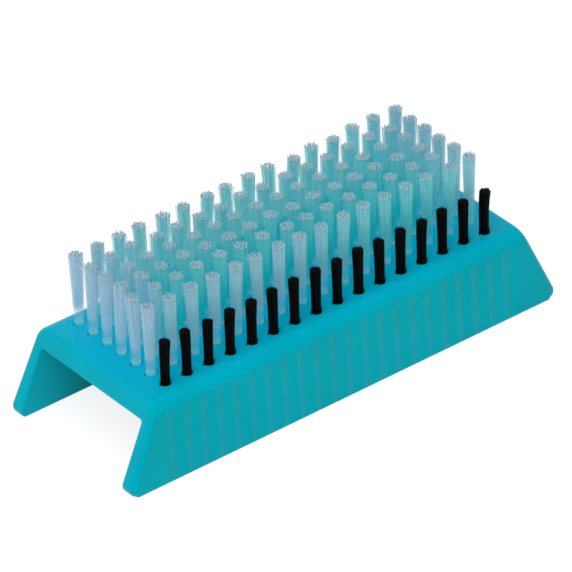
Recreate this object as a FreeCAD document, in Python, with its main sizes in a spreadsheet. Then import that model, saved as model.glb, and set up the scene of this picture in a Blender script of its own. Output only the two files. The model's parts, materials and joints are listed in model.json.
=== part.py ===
"""Nail brush: a moulded channel-shaped handle with seven rows of stapled bristle tufts.

The handle stands on the two long legs of its channel, with the origin midway between them on the
surface it rests on, +X along its length, +Z up and the row of short black tufts at its front, -Y.
Each tuft is a bundle of filaments folded over a small flat-wire anchor at the bottom of a blind hole.
All lengths are in millimetres.
"""
import FreeCAD, Part
import os
import Sketcher

SIZES = {
    # Handle: a flat deck on two long legs, with ends that slant out towards the foot.
    "deck_length": 86.6,
    "deck_width": 35.0,
    "body_height": 17.3,
    "deck_thickness": 3.9,
    "foot_width": 3.5,
    "end_overhang": 7.5,
    "leg_spread": 1.15,
    "deck_edge_radius": 3.2,
    "end_edge_radius": 1.1,
    "end_edge_limit_share": 0.6,
    "foot_corner_inner_radius": 0.5,
    "foot_corner_lift_share": 0.94,
    "inner_fold_radius": 0.6,
    "lip_radius": 0.4,
    "foot_edge_radius": 0.4,
    # Grip flutes down the outside of both legs.
    "flute_width": 3.2,
    "flute_depth": 0.12,
    "flute_margin": 3.9,
    # Tuft field: centres of the outer tufts, measured in from the deck's sharp edges.
    "end_margin": 5.8,
    "side_margin": 4.6,
    "hole_diameter": 2.2,
    "hole_floor": 1.2,
    "tuft_clearance": 0.05,
    # Flat-wire anchors and the filament fold that passes under each one.
    "anchor_thickness": 0.35,
    "anchor_height": 1.1,
    "anchor_bite": 0.3,
    "anchor_clearance": 0.03,
    "fold_under": 0.4,
    # Bristles above the deck; each flare is how far the tip spreads past the root all round.
    "pale_height": 14.9,
    "pale_flare": 0.45,
    "pale_flare_start": 1.0,
    "black_height": 9.3,
    "black_flare": 0.2,
    "black_flare_start": 3.5,
    "tip_bevel": 0.2,
    # How far every cut runs past the material it removes.
    "overrun": 5.0,
}
COLUMNS = 16
PALE_ROWS = 6
FLUTES = 22
SAME_PLACE = 1e-6

# Sizes that follow from the driving ones, as expressions on the sheet.
ROWS = PALE_ROWS + 1
HALF_BASE_LENGTH = "(dims.deck_length / 2 + dims.end_overhang)"
HALF_BASE_WIDTH = "(dims.deck_width / 2 + dims.leg_spread)"
HALF_CHANNEL = f"({HALF_BASE_WIDTH} - dims.foot_width)"
END_LEAN = "(dims.end_overhang / dims.body_height)"
END_ANGLE = f"atan({END_LEAN})"
LEG_LEAN = "(dims.leg_spread / dims.body_height)"
LEG_ANGLE = f"atan({LEG_LEAN})"
UNDER_DECK = "(dims.body_height - dims.deck_thickness)"
END_EDGE = "min(dims.end_edge_radius; dims.end_edge_limit_share * dims.foot_width)"
FOOT_CORNER = f"({END_EDGE} + dims.foot_corner_inner_radius)"
HOLE_BOTTOM = f"({UNDER_DECK} + dims.hole_floor)"
HOLE_DEPTH = "(dims.deck_thickness - dims.hole_floor)"
ANCHOR_SEAT = f"({HOLE_BOTTOM} + dims.fold_under)"
HALF_ANCHOR = "(dims.hole_diameter / 2 + dims.anchor_bite)"
HALF_SLIT = "(dims.anchor_thickness / 2 + dims.anchor_clearance)"
FIELD_LENGTH = "(dims.deck_length - 2 * dims.end_margin)"
FIELD_WIDTH = "(dims.deck_width - 2 * dims.side_margin)"
FIRST_X = f"(-{FIELD_LENGTH} / 2)"
FRONT_Y = f"(-{FIELD_WIDTH} / 2)"
FLUTE_RADIUS = "((dims.flute_width ^ 2 / 4 + dims.flute_depth ^ 2) / (2 * dims.flute_depth))"
FLUTE_FIELD = "(dims.deck_length - 2 * dims.flute_margin)"

doc = FreeCAD.newDocument("nail_brush")
dims = doc.addObject("Spreadsheet::Sheet", "dims")
for row, (alias, size) in enumerate(SIZES.items(), start=1):
    dims.set(f"A{row}", alias)
    dims.set(f"B{row}", str(size))
    dims.setAlias(f"B{row}", alias)
doc.recompute()


def value(expression):
    """Present value of an expression on the sheet."""
    return float(dims.evalExpression(expression))


def same(a, b):
    """Whether two lengths are the same."""
    return abs(a - b) < SAME_PLACE


def bind(thing, **bindings):
    """Tie properties of an object to expressions; a double underscore stands for a dot."""
    for name, expression in bindings.items():
        thing.setExpression(name.replace("__", "."), expression)


def new_body(label, x="0", y="0"):
    """Start one sub-part at a place on the deck's plan."""
    body = doc.addObject("PartDesign::Body", label)
    body.Label = label
    bind(body, Placement__Base__x=x, Placement__Base__y=y)
    return body


def origin_feature(body, role):
    """One of the body's own origin planes or axes."""
    return next(feature for feature in body.Origin.OriginFeatures if feature.Role == role)


def new_sketch(body, name, plane, raised="0"):
    """Start a sketch on one of the body's origin planes, raised along that plane's normal."""
    sketch = body.newObject("Sketcher::SketchObject", name)
    sketch.AttachmentSupport = [(origin_feature(body, plane), "")]
    sketch.MapMode = "FlatFace"
    bind(sketch, AttachmentOffset__Base__z=raised)
    return sketch


def constrain(sketch, expression, kind, *places):
    """Add one dimension to a sketch and tie it to an expression."""
    rule = sketch.addConstraint(Sketcher.Constraint(kind, *places, value(expression)))
    sketch.setExpression(f"Constraints[{rule}]", expression)


def hold(sketch, geometry, point, x, y):
    """Hold one point of a sketch at two expressions from the sketch's origin."""
    constrain(sketch, x, "DistanceX", -1, 1, geometry, point)
    constrain(sketch, y, "DistanceY", -1, 1, geometry, point)


def arc_between(start, end, radius, clockwise):
    """Arc of a circle, always drawn anticlockwise, that joins two points by the shorter way."""
    first, last = (end, start) if clockwise else (start, end)
    chord = last - first
    inward = FreeCAD.Vector(-chord.y, chord.x, 0).normalize()
    depth = (radius ** 2 - chord.Length ** 2 / 4) ** 0.5
    centre = first + chord / 2 + inward * depth
    circle = Part.Circle(centre, FreeCAD.Vector(0, 0, 1), radius)
    return Part.ArcOfCircle(circle, circle.parameter(first), circle.parameter(last))


def draw_outline(sketch, corners, arcs=None):
    """Draw a closed outline through corners given as pairs of expressions.

    A side is straight unless arcs gives it, by its number, a radius and whether it runs clockwise.
    """
    arcs = arcs or {}
    first = sketch.GeometryCount
    points = [FreeCAD.Vector(value(x), value(y), 0) for x, y in corners]
    ends = []
    for side, start in enumerate(points):
        end = points[(side + 1) % len(points)]
        radius, clockwise = arcs.get(side, (None, False))
        if radius:
            sketch.addGeometry(arc_between(start, end, value(radius), clockwise))
            constrain(sketch, radius, "Radius", first + side)
        else:
            sketch.addGeometry(Part.LineSegment(start, end))
        ends.append((2, 1) if clockwise else (1, 2))
    for side, (x, y) in enumerate(corners):
        after = (side + 1) % len(corners)
        meet = Sketcher.Constraint("Coincident", first + side, ends[side][1], first + after, ends[after][0])
        sketch.addConstraint(meet)
        hold(sketch, first + side, ends[side][0], x, y)


def draw_box(sketch, x, y, half_width, half_height):
    """Draw an upright rectangle about a centre."""
    draw_outline(sketch, [
        (f"{x} - {half_width}", f"{y} - {half_height}"),
        (f"{x} + {half_width}", f"{y} - {half_height}"),
        (f"{x} + {half_width}", f"{y} + {half_height}"),
        (f"{x} - {half_width}", f"{y} + {half_height}"),
    ])


def draw_circle(sketch, x, y, diameter):
    """Draw one circle with its centre and diameter tied to the sheet."""
    centre = FreeCAD.Vector(value(x), value(y), 0)
    circle = sketch.addGeometry(Part.Circle(centre, FreeCAD.Vector(0, 0, 1), value(diameter) / 2))
    hold(sketch, circle, 3, x, y)
    constrain(sketch, diameter, "Diameter", circle)


def add_feature(body, kind, name, sketch, **settings):
    """Add a feature made from a sketch, with its plain settings."""
    feature = body.newObject(f"PartDesign::{kind}", name)
    feature.Profile = sketch
    for setting, choice in settings.items():
        setattr(feature, setting, choice)
    return feature


def add_row(body, name, originals, count, length):
    """Repeat features along X."""
    pattern = body.newObject("PartDesign::LinearPattern", name)
    pattern.Originals = originals
    pattern.Direction = (origin_feature(body, "X_Axis"), [""])
    pattern.Occurrences = count
    bind(pattern, Length=length)
    body.Tip = pattern
    return pattern


def along_x(edge):
    """Whether an edge runs straight along the channel."""
    return same(edge.BoundBox.YLength, 0) and same(edge.BoundBox.ZLength, 0)


def on_inner_fold(edge):
    """Whether an edge is the sharp fold between a leg and the underside of the deck."""
    return along_x(edge) and same(edge.BoundBox.ZMax, value(UNDER_DECK))


def reach_across(edge):
    """How far an edge reaches to either side of the channel's middle."""
    return max(edge.BoundBox.YMax, -edge.BoundBox.YMin)


def on_end_contour(edge):
    """Whether an edge runs round the outside of an end: up one leg, across the deck and down the other."""
    box = edge.BoundBox
    up_leg = reach_across(edge) > value(HALF_CHANNEL) + SAME_PLACE and not same(box.ZLength, 0)
    across_deck = not along_x(edge) and same(box.ZMin, value("dims.body_height"))
    return up_leg or across_deck


def on_inner_rim(edge):
    """Whether an edge bounds the channel's inside, at its ends or along its feet."""
    inside = reach_across(edge) < value(HALF_CHANNEL) + SAME_PLACE
    below_deck = edge.BoundBox.ZMax < value(UNDER_DECK) + SAME_PLACE
    return inside and below_deck and (not along_x(edge) or same(edge.BoundBox.ZMax, 0))


def on_outer_foot(edge):
    """Whether an edge runs along the outside of a foot, on the surface that the handle stands on."""
    outside = same(reach_across(edge), value(HALF_BASE_WIDTH))
    return outside and along_x(edge) and same(edge.BoundBox.ZMax, 0)


def round_edges(body, name, base, test, radius):
    """Round those edges of a feature that pass a test."""
    edges = [f"Edge{number}" for number, edge in enumerate(base.Shape.Edges, start=1) if test(edge)]
    fillet = body.newObject("PartDesign::Fillet", name)
    fillet.Base = (base, edges)
    bind(fillet, Radius=radius)
    doc.recompute()
    return fillet


def draw_end(sketch, sign):
    """Draw what is cut away past one end: the slant and the rounded corner of the foot."""
    corner_z = f"(dims.foot_corner_lift_share * {FOOT_CORNER})"
    corner_x = f"({HALF_BASE_LENGTH} - {END_LEAN} * {corner_z} - {FOOT_CORNER} / cos({END_ANGLE}))"
    foot_x = f"({corner_x} + {FOOT_CORNER} * sqrt(1 - dims.foot_corner_lift_share ^ 2))"
    deck_x = "(dims.deck_length / 2)"
    clear_x = f"({HALF_BASE_LENGTH} + dims.overrun)"
    clear_z = "(dims.body_height + dims.overrun)"
    slant_foot = (
        f"{sign}({corner_x} + {FOOT_CORNER} * cos({END_ANGLE}))",
        f"{corner_z} + {FOOT_CORNER} * sin({END_ANGLE})",
    )
    draw_outline(sketch, [
        (f"{sign}{foot_x}", "0"),
        slant_foot,
        (f"{sign}{deck_x}", "dims.body_height"),
        (f"{sign}{deck_x}", clear_z),
        (f"{sign}{clear_x}", clear_z),
        (f"{sign}{clear_x}", "-dims.overrun"),
        (f"{sign}{foot_x}", "-dims.overrun"),
    ], arcs={0: (FOOT_CORNER, sign == "-")})


def mould_channel(body):
    """Mould the plain channel: its section, its shaped ends and its rounded edges."""
    section = new_sketch(body, "channel_section", "YZ_Plane")
    run = f"(dims.deck_edge_radius * tan((90 deg - {LEG_ANGLE}) / 2))"
    deck_y = f"(dims.deck_width / 2 - {run})"
    leg_y = f"(dims.deck_width / 2 + {run} * sin({LEG_ANGLE}))"
    leg_z = f"(dims.body_height - {run} * cos({LEG_ANGLE}))"
    deck_edge = ("dims.deck_edge_radius", False)
    draw_outline(section, [
        (f"-{HALF_BASE_WIDTH}", "0"),
        (f"-{HALF_CHANNEL}", "0"),
        (f"-{HALF_CHANNEL}", UNDER_DECK),
        (HALF_CHANNEL, UNDER_DECK),
        (HALF_CHANNEL, "0"),
        (HALF_BASE_WIDTH, "0"),
        (leg_y, leg_z),
        (deck_y, "dims.body_height"),
        (f"-{deck_y}", "dims.body_height"),
        (f"-{leg_y}", leg_z),
    ], arcs={6: deck_edge, 8: deck_edge})
    channel = add_feature(body, "Pad", "channel", section, SideType="Symmetric")
    bind(channel, Length=f"2 * {HALF_BASE_LENGTH}")

    outline = new_sketch(body, "end_outline", "XZ_Plane")
    draw_end(outline, "")
    draw_end(outline, "-")
    ends = add_feature(body, "Pocket", "shaped_ends", outline, Type="ThroughAll", SideType="Symmetric")
    doc.recompute()

    outer = round_edges(body, "end_edges", ends, on_end_contour, END_EDGE)
    folds = round_edges(body, "inner_folds", outer, on_inner_fold, "dims.inner_fold_radius")
    rim = round_edges(body, "inner_rim", folds, on_inner_rim, "dims.lip_radius")
    round_edges(body, "foot_edges", rim, on_outer_foot, "dims.foot_edge_radius")


def cut_flutes(body):
    """Cut round-bottomed flutes up both legs, along their lean, running out at the deck's rounded edge."""
    stand_off = f"({FLUTE_RADIUS} - dims.flute_depth)"
    flute = body.newObject("PartDesign::SubtractiveCylinder", "flute")
    flute.AttachmentSupport = [(origin_feature(body, "XY_Plane"), "")]
    flute.MapMode = "FlatFace"
    lean = FreeCAD.Rotation(FreeCAD.Vector(-1, 0, 0), value(LEG_ANGLE))
    flute.AttachmentOffset = FreeCAD.Placement(FreeCAD.Vector(), lean)
    bind(
        flute,
        Radius=FLUTE_RADIUS,
        Height=f"dims.body_height / cos({LEG_ANGLE}) + 2 * dims.overrun",
        AttachmentOffset__Rotation__Angle=LEG_ANGLE,
        AttachmentOffset__Base__x=f"-{FLUTE_FIELD} / 2",
        AttachmentOffset__Base__y=(
            f"-{HALF_BASE_WIDTH} - {stand_off} * cos({LEG_ANGLE}) - dims.overrun * sin({LEG_ANGLE})"
        ),
        AttachmentOffset__Base__z=f"{stand_off} * sin({LEG_ANGLE}) - dims.overrun * cos({LEG_ANGLE})",
    )
    along = add_row(body, "flutes_along_leg", [], FLUTES, FLUTE_FIELD)
    across = body.newObject("PartDesign::Mirrored", "flutes_on_both_legs")
    across.MirrorPlane = (origin_feature(body, "XZ_Plane"), [""])
    flutes = body.newObject("PartDesign::MultiTransform", "grip_flutes")
    flutes.Originals = [flute]
    flutes.Transformations = [along, across]
    body.Tip = flutes
    doc.recompute()


def drill_tuft_holes(body):
    """Sink the grid of blind tuft holes, each with the track that its anchor is driven down."""
    circle = new_sketch(body, "tuft_hole_circle", "XY_Plane", "dims.body_height")
    draw_circle(circle, FIRST_X, FRONT_Y, "dims.hole_diameter")
    hole = add_feature(body, "Pocket", "tuft_hole", circle)
    bind(hole, Length=HOLE_DEPTH)
    outline = new_sketch(body, "anchor_track_outline", "XY_Plane", "dims.body_height")
    draw_box(outline, FIRST_X, FRONT_Y, f"({HALF_ANCHOR} + dims.anchor_clearance)", HALF_SLIT)
    track = add_feature(body, "Pocket", "anchor_track", outline)
    bind(track, Length=f"{HOLE_DEPTH} - dims.fold_under")
    grid = add_row(body, "tuft_hole_grid", [hole, track], COLUMNS, FIELD_LENGTH)
    grid.Direction2 = (origin_feature(body, "Y_Axis"), [""])
    grid.Occurrences2 = ROWS
    bind(grid, Length2=FIELD_WIDTH)
    doc.recompute()


def build_handle():
    """The one moulded piece that everything else is set into."""
    body = new_body("handle_body")
    mould_channel(body)
    cut_flutes(body)
    drill_tuft_holes(body)
    return body


def build_tufts(label, x, y, kind, count):
    """Turn a folded bundle of filaments, or a row of them, with a window at the root for the anchor."""
    body = new_body(label, x, y)
    root = "(dims.hole_diameter / 2 - dims.tuft_clearance)"
    flare = f"dims.{kind}_flare"
    flare_z = f"(dims.body_height + dims.{kind}_flare_start)"
    tip_z = f"(dims.body_height + dims.{kind}_height)"
    shoulder_z = f"({tip_z} - dims.tip_bevel)"
    rise = f"({shoulder_z} - {flare_z})"
    profile = new_sketch(body, "tuft_profile", "XZ_Plane")
    draw_outline(profile, [
        ("0", HOLE_BOTTOM),
        (root, HOLE_BOTTOM),
        (root, flare_z),
        (f"{root} + {flare}", shoulder_z),
        (f"{root} + {flare} - dims.tip_bevel", tip_z),
        ("0", tip_z),
    ], arcs={2: (f"({flare} ^ 2 + {rise} ^ 2) / (2 * {flare})", True)})
    tuft = add_feature(body, "Revolution", "tuft", profile)
    tuft.ReferenceAxis = (profile, ["V_Axis"])
    if count > 1:
        add_row(body, "tuft_row", [tuft], count, FIELD_LENGTH)

    opening = new_sketch(body, "anchor_window_outline", "YZ_Plane")
    half_window = "((dims.anchor_height + dims.anchor_clearance) / 2)"
    draw_box(opening, "0", f"({ANCHOR_SEAT} + {half_window})", HALF_SLIT, half_window)
    window = add_feature(body, "Pocket", "anchor_window", opening, Type="ThroughAll", SideType="Symmetric")
    body.Tip = window
    return body


def build_anchors(label, y):
    """Cut one row of flat-wire anchors, each lying across its hole and biting into both sides."""
    body = new_body(label, FIRST_X, y)
    outline = new_sketch(body, "anchor_outline", "XY_Plane", ANCHOR_SEAT)
    draw_box(outline, "0", "0", HALF_ANCHOR, "dims.anchor_thickness / 2")
    anchor = add_feature(body, "Pad", "anchor", outline)
    bind(anchor, Length="dims.anchor_height")
    add_row(body, "anchor_row", [anchor], COLUMNS, FIELD_LENGTH)
    return body


bodies = [build_handle()]
for column in range(COLUMNS):
    column_x = f"{FIRST_X} + {column} * {FIELD_LENGTH} / {COLUMNS - 1}"
    bodies.append(build_tufts(f"black_tuft_{column + 1:02d}", column_x, FRONT_Y, "black", 1))
bodies.append(build_anchors("black_row_anchors", FRONT_Y))
for row in range(1, ROWS):
    row_y = f"{FRONT_Y} + {row} * {FIELD_WIDTH} / {ROWS - 1}"
    bodies.append(build_tufts(f"pale_tuft_row_{row}", FIRST_X, row_y, "pale", COLUMNS))
    bodies.append(build_anchors(f"pale_row_{row}_anchors", row_y))
doc.recompute()

for thing in doc.Objects:
    if "Invalid" in thing.State or "Error" in thing.State:
        raise RuntimeError(f"{thing.Name} did not build: {thing.State}")
for body in bodies:
    if body.Shape.isNull() or not body.Shape.isValid():
        raise RuntimeError(f"{body.Label} has no valid shape")

os.makedirs("parts", exist_ok=True)
for body in bodies:
    body.Shape.exportStep(f"parts/{body.Label}.step")
    print(body.Label, len(body.Shape.Solids), round(body.Shape.Volume, 3))
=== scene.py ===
"""Nail brush: a glossy turquoise moulded handle with tufts of clear and of black nylon filaments.

Lengths are in metres, in the part's own frame: +X along the handle, +Z up, the black tufts at the front, -Y.
"""
import json
import math

import bpy
import numpy as np
from mathutils import Matrix, Vector


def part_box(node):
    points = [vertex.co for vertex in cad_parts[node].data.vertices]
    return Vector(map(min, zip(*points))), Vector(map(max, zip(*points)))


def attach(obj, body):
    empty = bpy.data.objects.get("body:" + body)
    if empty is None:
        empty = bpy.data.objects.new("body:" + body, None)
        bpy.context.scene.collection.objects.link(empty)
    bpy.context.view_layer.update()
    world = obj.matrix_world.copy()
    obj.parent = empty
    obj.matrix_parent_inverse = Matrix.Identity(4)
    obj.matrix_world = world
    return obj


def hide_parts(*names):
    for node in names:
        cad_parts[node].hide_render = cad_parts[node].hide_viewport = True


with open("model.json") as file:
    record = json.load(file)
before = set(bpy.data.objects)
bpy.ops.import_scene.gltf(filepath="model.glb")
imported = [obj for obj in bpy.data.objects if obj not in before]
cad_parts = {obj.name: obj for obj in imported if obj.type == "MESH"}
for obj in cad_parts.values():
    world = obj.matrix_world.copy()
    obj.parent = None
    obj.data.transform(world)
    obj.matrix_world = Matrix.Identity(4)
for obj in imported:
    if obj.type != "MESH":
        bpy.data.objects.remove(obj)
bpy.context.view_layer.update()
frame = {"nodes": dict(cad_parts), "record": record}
MM = 0.001
BODY = "root"
SEED = 7

# Tuft field, as the part's nodes have it.
COLUMNS = 16
PALE_ROWS = 6
DECK_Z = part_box("handle_body")[1].z
HOLE_RADIUS = 1.1 * MM

# Filaments: how many a tuft holds, how thick they are, where they spread and how unevenly they stand.
SIDES = 6
GOLDEN_ANGLE = math.pi * (3 - math.sqrt(5))
RING_SHARES = (0.0, 0.16, 0.4, 0.62, 0.82, 0.985, 1.0)
RING_WIDTH_SHARES = (1.0, 1.0, 1.0, 1.0, 1.0, 1.0, 0.62)
EVENEST_TUFT_SHARE = 0.3
PALE = {
    "slot": "pale_bristle",
    "count": 64,
    "thickness": 0.24 * MM,
    "inset": 0.06 * MM,
    "flare_start": 1.0 * MM,
    "stray": 0.09 * MM,
    "lean": 0.20 * MM,
    "uneven": 0.20 * MM,
}
BLACK = {
    "slot": "black_bristle",
    "count": 60,
    "thickness": 0.24 * MM,
    "inset": 0.14 * MM,
    "flare_start": 3.5 * MM,
    "stray": 0.04 * MM,
    "lean": 0.16 * MM,
    "uneven": 0.20 * MM,
}

# Grip flutes on the legs' outer faces: where the handle has them, and how much deeper they are shaded.
FLUTES = 22
FLUTE_WIDTH = 3.2 * MM
FLUTE_FIELD = 78.8 * MM
FLUTE_PITCH = FLUTE_FIELD / (FLUTES - 1)
FLUTES_END = (FLUTE_FIELD + FLUTE_WIDTH) / 2
FLUTES_TOP = 17.45 * MM
FLUTE_FADE = 0.25 * MM
FLUTE_SHADING_DEPTH = 0.16 * MM

# Grain of the finishes: size and depth of the marks, and how far some are drawn out along X.
FLOW_CLOUD = 14 * MM
SKIN_GRAIN = 0.55 * MM
SKIN_DEPTH = 0.03 * MM
RUB_MARK = 0.9 * MM
RUB_STRETCH = (0.16, 1.0, 1.0)
SHEAR_GRAIN = 0.06 * MM
SHEAR_DEPTH = 0.02 * MM
WIRE_MARK = 0.05 * MM
WIRE_MARK_DEPTH = 0.01 * MM
WIRE_STRETCH = (0.08, 1.0, 1.0)
SCATTER_DEPTH = 0.6 * MM

# Heights above the deck over which a clear filament changes, and how solid each stretch of it is.
SEAT_HEIGHTS = (0.3 * MM, 0.8 * MM)
MILKY_HEIGHTS = (2.0 * MM, 4.5 * MM)
UPPER_HEIGHTS = (5.0 * MM, 15.0 * MM)
CLEAR_OPACITY = 0.03
MILKY_OPACITY = 0.09
UPPER_OPACITY = 0.09
SEAT_OPACITY = 0.4
LIGHT_LET_PAST = 0.92

# Tufts painted paler and denser as if lit, at both ends and along the front (painted light): how far out
# they start along X and towards the front, and how much light each side is painted with.
PAINTED_LIT_ENDS = (27 * MM, 37 * MM)
PAINTED_LIT_FRONT = (5.5 * MM, 8 * MM)
PAINTED_LIT_FRONT_EASES = (-10 * MM, 25 * MM)
RIGHT_PAINTED_LIGHT = 0.6
FRONT_PAINTED_LIGHT = 0.75
FRONT_PAINTED_LIGHT_LOST = 0.5
PAINTED_LIGHT_THICKENING = 0.8

# Camera: where it stands, measured round the point that it looks at. Film and lens are in millimetres.
AZIMUTH = math.radians(37.34)
ELEVATION = math.radians(34.20)
ROLL = math.radians(1.99)
DISTANCE = 1363.6 * MM
AIM_SIDE = 0.50 * MM
AIM_RISE = -1.745 * MM
FILM_WIDTH = 36.0
LENS = 464.8
CLEAR_LAYERS_SEEN = 128

# Colours as light, not as stored.
TURQUOISE = (0.000, 0.395, 0.610)
DEEP_TURQUOISE = (0.000, 0.375, 0.575)
TURQUOISE_SHINE = (0.00, 0.85, 1.00)
# Clear nylon low down, painted with the deck's turquoise: a painted reflection of the deck's light, not a
# colour of the nylon itself.
LOW_PAINTED_DECK_REFLECTION = (0.01, 0.70, 0.78)
PALE_NYLON = (0.22, 0.78, 0.92)
# Paler colours painted on the tufts at the ends and along the front, as if lit from there: painted light.
PAINTED_LIT_LOW_NYLON = (0.43, 0.69, 0.93)
PAINTED_LIT_PALE_NYLON = (0.50, 0.71, 0.95)
# Light-blue colour at each clear filament's foot: a painted light spot on the deck at the tuft's foot.
SEAT_PAINTED_LIGHT_SPOT = (0.24, 0.84, 1.00)
DULL_CUT_NYLON = (0.32, 0.51, 0.65)
CUT_NYLON = (0.46, 0.64, 0.79)
BLACK_NYLON = (0.001, 0.001, 0.0012)
BLACK_CUT = (0.002, 0.002, 0.0025)
DULL_STEEL = (0.52, 0.52, 0.51)
WIRE_STEEL = (0.62, 0.62, 0.60)
FLOOR_PAINT = (0.90, 0.90, 0.77)
FLOOR_SHADE = (0.23, 0.23, 0.27)
SKY = (1.0, 1.0, 0.68)
COOL_WHITE = (0.97, 1.0, 1.06)
WARM_WHITE = (1.0, 1.0, 0.62)
WHITE = (1.0, 1.0, 1.0)

# Studio: a floor, a sky and two softboxes that face the brush.
FLOOR_HALF = 3.0
FLOOR_GLOW = 0.84
SKY_LIGHT = 0.37
SOFTBOXES = {
    "top_softbox": {"place": (-0.25, -0.12, 0.75), "side": 0.6, "power": 4.3, "colour": COOL_WHITE},
    "front_softbox": {"place": (-0.51, -0.68, 0.31), "side": 0.5, "power": 1.6, "colour": WARM_WHITE},
}


class Value:
    """A socket of a material's nodes; arithmetic on it adds Math nodes."""

    def __init__(self, tree, socket=None):
        self.tree = tree
        self.socket = socket

    def node(self, kind, settings=None, inputs=None, output=0):
        """Add a node of a kind, fill in its settings and its sockets, and give one of its outputs."""
        made = self.tree.nodes.new(kind)
        for name, setting in (settings or {}).items():
            setattr(made, name, setting)
        for name, given in (inputs or {}).items():
            if isinstance(given, Value):
                self.tree.links.new(given.socket, made.inputs[name])
            else:
                made.inputs[name].default_value = given
        return Value(self.tree, made.outputs[output]) if made.outputs else made

    def maths(self, operation, first, second):
        """One Math node."""
        return self.node("ShaderNodeMath", {"operation": operation}, {0: first, 1: second})

    def __add__(self, other):
        return self.maths("ADD", self, other)

    def __sub__(self, other):
        return self.maths("SUBTRACT", self, other)

    def __rsub__(self, other):
        return self.maths("SUBTRACT", other, self)

    def __mul__(self, other):
        return self.maths("MULTIPLY", self, other)

    def __neg__(self):
        return self.maths("SUBTRACT", 0.0, self)

    def __abs__(self):
        return self.maths("ABSOLUTE", self, 0.0)

    __radd__ = __add__
    __rmul__ = __mul__

    def fraction(self):
        """What is left of the value above the whole number below it."""
        return self.maths("FRACT", self, 0.0)

    def larger(self, other):
        """The larger of this value and another."""
        return self.maths("MAXIMUM", self, other)

    def at_most(self, most):
        """This value, but no more than a limit."""
        return self.maths("MINIMUM", self, most)

    def eased(self, low, high):
        """Smooth step from 0 at low to 1 at high."""
        return self.node("ShaderNodeMapRange", {"interpolation_type": "SMOOTHSTEP"},
                         {"Value": self, "From Min": low, "From Max": high})

    def between(self, first, second):
        """Mix of two colours by this value."""
        ends = [opaque(end) if isinstance(end, tuple) else end for end in (first, second)]
        return self.node("ShaderNodeMix", {"data_type": "RGBA"}, {0: self, 6: ends[0], 7: ends[1]}, 2)


def opaque(colour):
    """A colour with the full alpha that a colour socket takes."""
    return (*colour, 1.0)


def new_material(name):
    """An empty material, and a blank value to start its nodes from."""
    material = bpy.data.materials.new(name)
    material.use_nodes = True
    material.node_tree.nodes.clear()
    return material, Value(material.node_tree)


def finish_material(start, shader):
    """Lead a shader to the material's surface."""
    start.node("ShaderNodeOutputMaterial", None, {"Surface": shader})


def place_on_piece(start):
    """Where a point of the surface is, in the part's own frame."""
    return start.node("ShaderNodeTexCoord", output="Object")


def coordinates(start, place):
    """The X, Y and Z of a place."""
    return [start.node("ShaderNodeSeparateXYZ", None, {0: place}, axis) for axis in "XYZ"]


def stretched(start, place, shares):
    """A place with its coordinates shortened, which draws a pattern out."""
    return start.node("ShaderNodeMapping", None, {"Vector": place, "Scale": shares})


def filament_tone(start):
    """How pale the filament at hand is, from 0 to 1."""
    return start.node("ShaderNodeAttribute", {"attribute_name": "tone"}, output="Fac")


def noise(start, place, size, detail=2.0):
    """Cloudy noise from 0 to 1 whose lumps are about one size across."""
    return start.node("ShaderNodeTexNoise", None,
                      {"Vector": place, "Scale": 1 / size, "Detail": detail}, "Fac")


def bump(start, height, strength, depth, **under):
    """Bump of a relief that is one depth deep, over the bump that Normal names, if any."""
    return start.node("ShaderNodeBump", None,
                      {"Height": height, "Strength": strength, "Distance": depth, **under})


def flute_relief(start, place):
    """Relief from 0 in the middle of a grip flute to 1 on the lands between them and everywhere else.

    Across a flute of width w it is the parabola (2u / w)^2 of the distance u from the flute's middle.
    """
    along, across, _ = coordinates(start, place)
    middle = (along * (1 / FLUTE_PITCH)).fraction() - 0.5
    sides = middle * (2 * FLUTE_PITCH / FLUTE_WIDTH)
    flute = (sides * sides).at_most(1.0)
    field = abs(across).eased(FLUTES_TOP, FLUTES_TOP + FLUTE_FADE)
    field = field * (1.0 - abs(along).eased(FLUTES_END, FLUTES_END + FLUTE_FADE))
    return 1.0 - field * (1.0 - flute)


def turquoise_moulding():
    """Glossy moulded plastic: soft flow clouds in its colour, a faint grained skin and fine rub marks.

    The grip flutes are shaded deeper than they are cut.
    """
    material, start = new_material("turquoise_moulding")
    place = place_on_piece(start)
    clouds = noise(start, place, FLOW_CLOUD, 3.0)
    skin = noise(start, place, SKIN_GRAIN)
    rubs = noise(start, stretched(start, place, RUB_STRETCH), RUB_MARK, 4.0).eased(0.60, 0.72)
    flutes = bump(start, flute_relief(start, place), 1.0, FLUTE_SHADING_DEPTH)
    shader = start.node("ShaderNodeBsdfPrincipled", None, {
        "Base Color": clouds.eased(0.30, 0.70).between(DEEP_TURQUOISE, TURQUOISE),
        "Roughness": 0.27 + 0.06 * clouds + 0.10 * rubs,
        "Normal": bump(start, skin + 0.5 * rubs, 0.10, SKIN_DEPTH, Normal=flutes),
        "IOR": 1.49,
        "Specular IOR Level": 0.12,
        "Specular Tint": opaque(TURQUOISE_SHINE),
        "Subsurface Weight": 0.2,
        "Subsurface Radius": (0.2, 1.0, 0.8),
        "Subsurface Scale": SCATTER_DEPTH,
    })
    finish_material(start, shader)
    return material


def tuft_painted_light(along, across):
    """Painted light on the tufts: how much paler and denser they are painted, as if lit, most at the left
    end, less at the right and along the front.
    """
    left = (-along).eased(*PAINTED_LIT_ENDS)
    right = along.eased(*PAINTED_LIT_ENDS)
    front = (-across).eased(*PAINTED_LIT_FRONT) * (FRONT_PAINTED_LIGHT - FRONT_PAINTED_LIGHT_LOST * along.eased(*PAINTED_LIT_FRONT_EASES))
    painted_lit = left.larger(RIGHT_PAINTED_LIGHT * right).larger(front)
    return painted_lit, painted_lit.larger(right)


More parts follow.
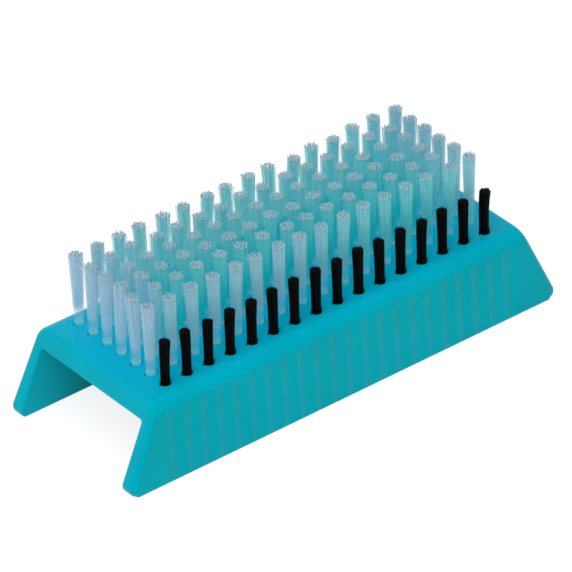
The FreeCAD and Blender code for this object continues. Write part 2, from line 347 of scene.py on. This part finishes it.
def clear_filament():
    """Clear nylon filament: painted with a light spot where it leaves its hole, then see-through, then milky
    up to its cut end.

    Low down its colour is painted with the deck's turquoise, a painted reflection of the deck's light, and
    it lets most of the light past it. The tufts at both ends and along the front are painted paler and
    milkier than the rest, as if lit: painted light.
    """
    material, start = new_material("clear_filament")
    along, across, up = coordinates(start, place_on_piece(start))
    height = up - DECK_Z
    painted_lit, dense = tuft_painted_light(along, across)
    tone = filament_tone(start)
    seat = 1.0 - height.eased(*SEAT_HEIGHTS)
    milky = height.eased(*MILKY_HEIGHTS)
    upper = height.eased(*UPPER_HEIGHTS)
    shaft = CLEAR_OPACITY + MILKY_OPACITY * milky * (1.0 + PAINTED_LIGHT_THICKENING * dense) + UPPER_OPACITY * upper
    solid = shaft * (0.7 + 0.6 * tone) + SEAT_OPACITY * seat
    shadow = start.node("ShaderNodeLightPath", output="Is Shadow Ray")
    # Painted light: the tufts at the ends and along the front are painted paler, as if lit, and low down the
    # turquoise is a painted reflection of the deck.
    low = painted_lit.between(LOW_PAINTED_DECK_REFLECTION, PAINTED_LIT_LOW_NYLON)
    high = painted_lit.between(PALE_NYLON, PAINTED_LIT_PALE_NYLON)
    shader = start.node("ShaderNodeBsdfPrincipled", None, {
        # At the foot the filament is painted with a light spot.
        "Base Color": seat.between(upper.between(low, high), SEAT_PAINTED_LIGHT_SPOT),
        "Roughness": 0.30 + 0.10 * tone,
        "Alpha": solid * (1.0 - LIGHT_LET_PAST * shadow),
        "IOR": 1.45,
    })
    finish_material(start, shader)
    return material


def frosted_end():
    """Cut end of a clear filament: sheared, so it scatters light and looks pale."""
    material, start = new_material("frosted_end")
    shear = noise(start, place_on_piece(start), SHEAR_GRAIN)
    shader = start.node("ShaderNodeBsdfPrincipled", None, {
        "Base Color": filament_tone(start).between(DULL_CUT_NYLON, CUT_NYLON),
        "Roughness": 0.45 + 0.25 * shear,
        "Normal": bump(start, shear, 0.3, SHEAR_DEPTH),
    })
    finish_material(start, shader)
    return material


def black_filament():
    """Dyed black nylon filament, with a soft shine along its length."""
    material, start = new_material("black_filament")
    tone = filament_tone(start)
    shader = start.node("ShaderNodeBsdfPrincipled", None, {
        "Base Color": tone.between(BLACK_NYLON, BLACK_CUT),
        "Roughness": 0.42 + 0.16 * tone,
        "Specular IOR Level": 0.04,
    })
    finish_material(start, shader)
    return material


def black_end():
    """Cut end of a black filament, duller than its side."""
    material, start = new_material("black_end")
    shear = noise(start, place_on_piece(start), SHEAR_GRAIN)
    shader = start.node("ShaderNodeBsdfPrincipled", None, {
        "Base Color": shear.between(BLACK_NYLON, BLACK_CUT),
        "Roughness": 0.6 + 0.2 * shear,
        "Specular IOR Level": 0.1,
    })
    finish_material(start, shader)
    return material


def anchor_wire():
    """Bright flat wire, drawn and sheared, with fine marks along its length."""
    material, start = new_material("anchor_wire")
    marks = noise(start, stretched(start, place_on_piece(start), WIRE_STRETCH), WIRE_MARK, 3.0)
    shader = start.node("ShaderNodeBsdfPrincipled", None, {
        "Base Color": marks.between(DULL_STEEL, WIRE_STEEL),
        "Roughness": 0.22 + 0.2 * marks,
        "Metallic": 1.0,
        "Normal": bump(start, marks, 0.2, WIRE_MARK_DEPTH),
    })
    finish_material(start, shader)
    return material


def filament_tufts(name, centres, tip_radius, low_z, tip_z, kind, rng):
    """Bundles of filaments, each a thin six-sided tube from the bottom of its hole to its cut end.

    Filament i of a bundle of n sits at the share sqrt((i + 1/2) / n) of the bundle's radius and at i golden
    angles round it, as seeds do in a sunflower. With s running from 0 at the flare's start to 1 at the tip,
    the bundle's radius grows by flare s, and a lean of the whole bundle and a stray of each filament are
    added as lean s^2 and stray s^2. The last ring is narrower, which breaks the edge of the cut end.
    """
    count, thickness = kind["count"], kind["thickness"]
    tufts = len(centres)
    number = np.arange(count)
    turn = rng.uniform(0, 2 * math.pi, (tufts, 1))
    angle = number * GOLDEN_ANGLE + turn
    share = np.sqrt((number + 0.5) / count)
    seat = np.stack([share * np.cos(angle), share * np.sin(angle)], -1)
    lean = rng.normal(0, kind["lean"], (tufts, 1, 2))
    stray = rng.normal(0, kind["stray"], (tufts, count, 2))
    shortfall = rng.uniform(0, 1, (tufts, count)) * rng.uniform(EVENEST_TUFT_SHARE, 1, (tufts, 1))
    tips = tip_z - kind["uneven"] * shortfall
    tone = rng.uniform(0, 1, (tufts, count))

    rings = np.array(RING_SHARES)
    height = low_z + (tips[..., None] - low_z) * rings
    flare_z = DECK_Z + kind["flare_start"]
    rise = np.clip((height - flare_z) / (tip_z - flare_z), 0, 1)
    root = HOLE_RADIUS - kind["inset"] - thickness / 2
    radius = root + (tip_radius - HOLE_RADIUS) * rise
    middle = centres[:, None, None, :] + seat[:, :, None, :] * radius[..., None]
    middle = middle + (lean + stray)[:, :, None, :] * rise[..., None] ** 2

    corner = np.arange(SIDES) * 2 * math.pi / SIDES + rng.uniform(0, math.pi, (tufts, count, 1, 1))
    width = thickness / 2 * np.array(RING_WIDTH_SHARES)[:, None]
    points = np.empty((tufts, count, len(rings), SIDES, 3))
    points[..., 0] = middle[..., 0, None] + width * np.cos(corner)
    points[..., 1] = middle[..., 1, None] + width * np.sin(corner)
    points[..., 2] = height[..., None]

    filaments = tufts * count
    index = np.arange(points[..., 0].size).reshape(filaments, len(rings), SIDES)
    after = np.roll(index, -1, axis=2)
    walls = np.stack([index[:, :-1], after[:, :-1], after[:, 1:], index[:, 1:]], -1)
    faces = walls.reshape(-1, 4).tolist() + index[:, 0, ::-1].tolist() + index[:, -1].tolist()
    cut_walls = np.zeros(walls.shape[:-1], dtype=np.int32)
    cut_walls[:, -1] = 1
    cut = np.concatenate([cut_walls.ravel(), np.zeros(filaments, np.int32), np.ones(filaments, np.int32)])

    mesh = bpy.data.meshes.new(name)
    mesh.from_pydata(points.reshape(-1, 3), [], faces)
    mesh.polygons.foreach_set("material_index", cut)
    mesh.polygons.foreach_set("use_smooth", cut == 0)
    shade = mesh.attributes.new("tone", "FLOAT", "POINT")
    shade.data.foreach_set("value", np.repeat(tone.ravel(), len(rings) * SIDES).astype(np.float32))
    mesh.update()
    piece = bpy.data.objects.new(name, mesh)
    bpy.context.scene.collection.objects.link(piece)
    return piece


def dress_tufts(node, name, columns, kind, materials, rng):
    """Put filament bundles in the place of a node that holds one tuft or a row of them along X."""
    low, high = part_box(node)
    tip_radius = (high.y - low.y) / 2
    across = np.full(columns, (low.y + high.y) / 2)
    along = np.linspace(low.x + tip_radius, high.x - tip_radius, columns)
    centres = np.stack([along, across], -1)
    piece = filament_tufts(name, centres, tip_radius, low.z, high.z, kind, rng)
    for material in materials:
        piece.data.materials.append(material)
    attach(piece, BODY)
    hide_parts(node)


def dress_brush():
    """Give the handle and anchors their finishes and every tuft its filaments."""
    rng = np.random.default_rng(SEED)
    finishes = {"handle_plastic": turquoise_moulding(), "anchor_wire": anchor_wire()}
    for part in frame["record"]["subparts"]:
        finish = finishes.get(part["material_slot"])
        if finish:
            node = frame["nodes"][part["node"]]
            node.data.materials.clear()
            node.data.materials.append(finish)
    clear = [clear_filament(), frosted_end()]
    dark = [black_filament(), black_end()]
    for row in range(1, PALE_ROWS + 1):
        dress_tufts(f"pale_tuft_row_{row}", f"pale_filaments_row_{row}", COLUMNS, PALE, clear, rng)
    for column in range(1, COLUMNS + 1):
        dress_tufts(f"black_tuft_{column:02d}", f"black_filaments_{column:02d}", 1, BLACK, dark, rng)


def seen_ray(start):
    """One for rays from the camera, a mirror or through clear stuff, and nought for the rest."""
    camera, mirror, through = (start.node("ShaderNodeLightPath", output=f"Is {kind} Ray")
                               for kind in ("Camera", "Glossy", "Transmission"))
    return (camera + mirror + through).at_most(1.0)


def build_floor():
    """Pale floor that looks white where it is lit and keeps the brush's shadow."""
    half = FLOOR_HALF
    corners = [(-half, -half, 0), (half, -half, 0), (half, half, 0), (-half, half, 0)]
    mesh = bpy.data.meshes.new("studio_floor")
    mesh.from_pydata(corners, [], [(0, 1, 2, 3)])
    floor = bpy.data.objects.new("studio_floor", mesh)
    bpy.context.scene.collection.objects.link(floor)
    material, start = new_material("floor_paint")
    paint = start.node("ShaderNodeBsdfDiffuse", None, {"Color": opaque(FLOOR_PAINT)})
    shade = start.node("ShaderNodeBsdfDiffuse", None, {"Color": opaque(FLOOR_SHADE)})
    glow = start.node("ShaderNodeEmission", None, {"Color": opaque(WHITE), "Strength": FLOOR_GLOW})
    seen = start.node("ShaderNodeAddShader", None, {0: shade, 1: glow})
    shader = start.node("ShaderNodeMixShader", None, {0: seen_ray(start), 1: paint, 2: seen})
    finish_material(start, shader)
    mesh.materials.append(material)


def build_world():
    """White surroundings, dimmer as a light than they look."""
    world = bpy.data.worlds.new("studio")
    bpy.context.scene.world = world
    world.use_nodes = True
    world.node_tree.nodes.clear()
    start = Value(world.node_tree)
    light = start.node("ShaderNodeBackground", None, {"Color": opaque(SKY), "Strength": SKY_LIGHT})
    seen = start.node("ShaderNodeBackground", None, {"Color": opaque(WHITE), "Strength": 1.0})
    sky = start.node("ShaderNodeMixShader", None, {0: seen_ray(start), 1: light, 2: seen})
    start.node("ShaderNodeOutputWorld", None, {"Surface": sky})


def add_softbox(name, place, side, power, colour):
    """Square softbox at a place, turned to face the brush."""
    lamp = bpy.data.lights.new(name, "AREA")
    lamp.shape = "SQUARE"
    lamp.size = side
    lamp.energy = power
    lamp.color = colour
    box = bpy.data.objects.new(name, lamp)
    box.location = place
    box.rotation_euler = (-Vector(place)).to_track_quat("-Z", "Y").to_euler()
    bpy.context.scene.collection.objects.link(box)


def build_camera():
    """Long lens from above the brush's front left corner, a touch rolled."""
    level_reach = math.cos(ELEVATION)
    back = Vector((-math.sin(AZIMUTH) * level_reach, -math.cos(AZIMUTH) * level_reach, math.sin(ELEVATION)))
    level = Vector((math.cos(AZIMUTH), -math.sin(AZIMUTH), 0))
    upright = back.cross(level)
    right = level * math.cos(ROLL) - upright * math.sin(ROLL)
    up = level * math.sin(ROLL) + upright * math.cos(ROLL)
    aim = Vector((0, 0, DECK_Z)) + right * AIM_SIDE + up * AIM_RISE
    lens = bpy.data.cameras.new("camera")
    lens.sensor_width = FILM_WIDTH
    lens.lens = LENS
    camera = bpy.data.objects.new("camera", lens)
    turned = Matrix((right, up, back)).transposed().to_4x4()
    camera.matrix_world = Matrix.Translation(aim + back * DISTANCE) @ turned
    bpy.context.scene.collection.objects.link(camera)
    bpy.context.scene.camera = camera


dress_brush()
build_floor()
build_world()
for softbox_name, softbox in SOFTBOXES.items():
    add_softbox(softbox_name, **softbox)
build_camera()
bpy.context.scene.view_settings.view_transform = "Standard"
bpy.context.scene.cycles.transparent_max_bounces = CLEAR_LAYERS_SEEN
